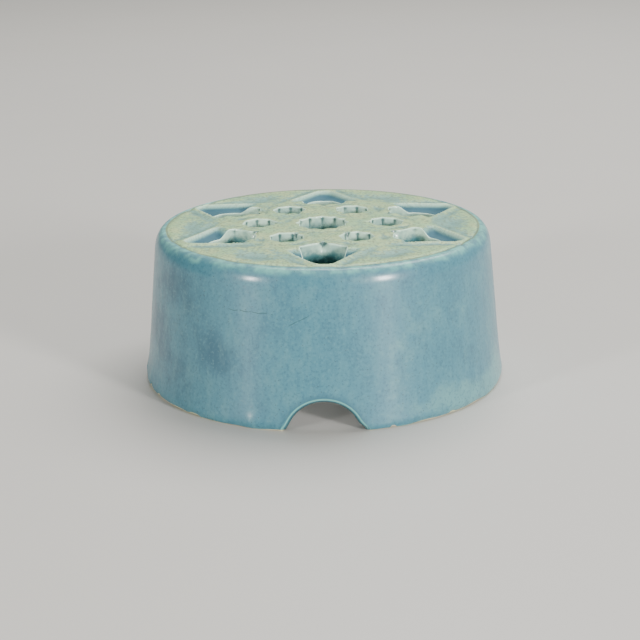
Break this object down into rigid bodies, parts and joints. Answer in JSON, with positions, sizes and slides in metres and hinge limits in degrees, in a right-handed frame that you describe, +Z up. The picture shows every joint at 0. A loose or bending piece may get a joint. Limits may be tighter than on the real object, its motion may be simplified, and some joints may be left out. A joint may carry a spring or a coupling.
{
  "type": "flower frog",
  "caption": "Low round glazed-ceramic flower frog: a hollow drum with a pierced, domed top that holds stems upright, and an arched water notch at the foot.",
  "frame": {"origin": "centre of the foot ring, on the surface that the frog stands on", "axes": "+Z up through the centre of the pierced top, -Y towards the arched water notch, +X to the right when the notch faces the viewer"},
  "size_m": [0.089, 0.0883, 0.038],
  "materials": {
    "bare_clay": "unglazed cream clay",
    "side_glaze": "satin matte mottled blue glaze",
    "top_glaze": "satin glaze breaking from blue-grey to olive green",
    "hole_glaze": "glossy pale green glaze pooling to blue",
    "inner_glaze": "satin dark blue-green glaze"
  },
  "bodies": {
    "root": {"clay_body": "bare_clay", "side_glaze": "side_glaze", "top_glaze": "top_glaze", "inner_glaze": "inner_glaze", "centre_hole_glaze": "hole_glaze", "inner_hole_glaze_1": "hole_glaze", "inner_hole_glaze_2": "hole_glaze", "inner_hole_glaze_3": "hole_glaze", "inner_hole_glaze_4": "hole_glaze", "inner_hole_glaze_5": "hole_glaze", "inner_hole_glaze_6": "hole_glaze", "outer_hole_glaze_1": "hole_glaze", "outer_hole_glaze_2": "hole_glaze", "outer_hole_glaze_3": "hole_glaze", "outer_hole_glaze_4": "hole_glaze", "outer_hole_glaze_5": "hole_glaze", "outer_hole_glaze_6": "hole_glaze"}
  },
  "joints": []
}
